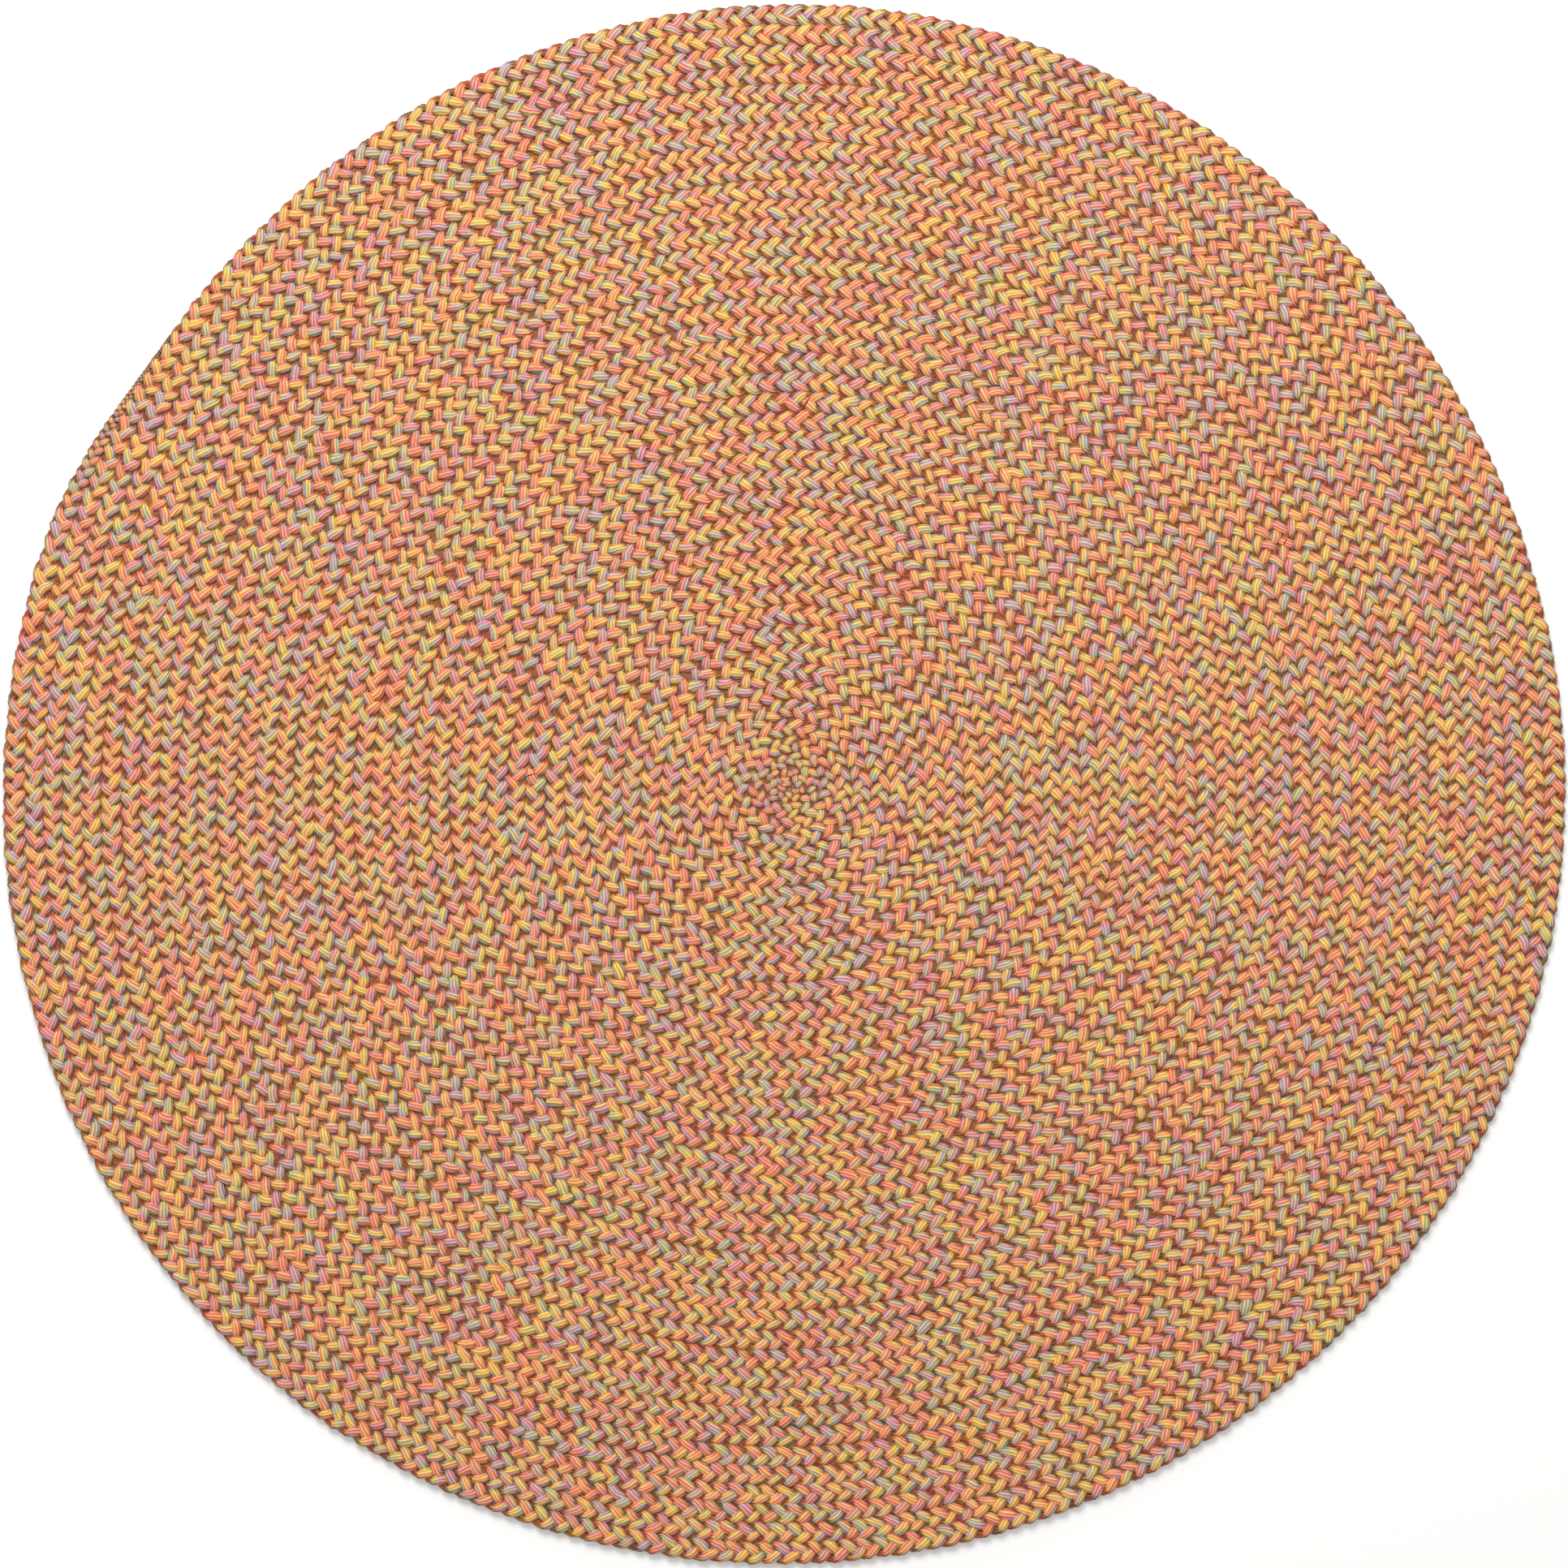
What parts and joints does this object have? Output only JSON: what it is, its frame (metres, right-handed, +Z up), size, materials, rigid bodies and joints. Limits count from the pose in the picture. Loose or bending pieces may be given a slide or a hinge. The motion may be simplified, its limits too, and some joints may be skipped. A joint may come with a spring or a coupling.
{
  "type": "braided rug",
  "caption": "Round flat rug made of one multicoloured yarn braid coiled outwards from the middle and sewn edge to edge.",
  "frame": {"origin": "middle of the rug's underside, on the floor", "axes": "+Z up out of the floor, through the rug's thickness; the outer end of the braid lies between -X and +Y"},
  "size_m": [1.834, 1.8308, 0.012],
  "materials": {
    "mixed_yarn": "matt spun yarn, plaited"
  },
  "bodies": {
    "root": {"braided_rug": "mixed_yarn"}
  },
  "joints": []
}
